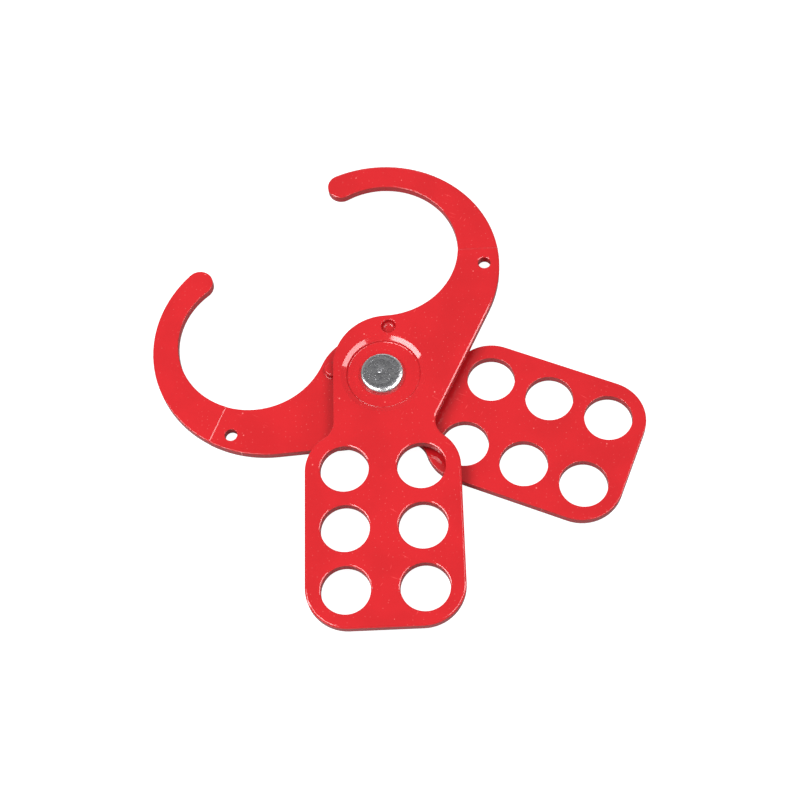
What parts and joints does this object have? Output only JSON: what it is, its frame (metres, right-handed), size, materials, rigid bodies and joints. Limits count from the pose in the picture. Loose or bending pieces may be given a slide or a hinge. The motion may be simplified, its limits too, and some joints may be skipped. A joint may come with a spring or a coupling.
{
  "type": "lockout hasp",
  "caption": "Scissor lockout hasp: two enamelled steel leaves on a rivet, each with a curved hook at one end and a tab of padlock holes at the other.",
  "frame": {"origin": "on the pivot axis, at the flat underside of the rivet's tail", "axes": "+Z along the pivot towards the rivet's head and the front leaf; +Y from the front leaf's padlock tab towards its hook; +X to the right seen from the head side"},
  "size_m": [0.1248, 0.128, 0.0082],
  "materials": {
    "red_enamel": "glossy red enamel on stamped steel",
    "zinc_plate": "bright zinc plate, slightly mottled"
  },
  "bodies": {
    "front": {"front_leaf": "red_enamel", "pivot_rivet": "zinc_plate"},
    "back": {"back_leaf": "red_enamel"}
  },
  "joints": [
    {"name": "jaw_pivot", "type": "hinge", "parent": "front", "child": "back", "pos_m": [0, 0, 0.0043], "axis": [0, 0, 1], "range_deg": [-66.84, 258.8]}
  ]
}
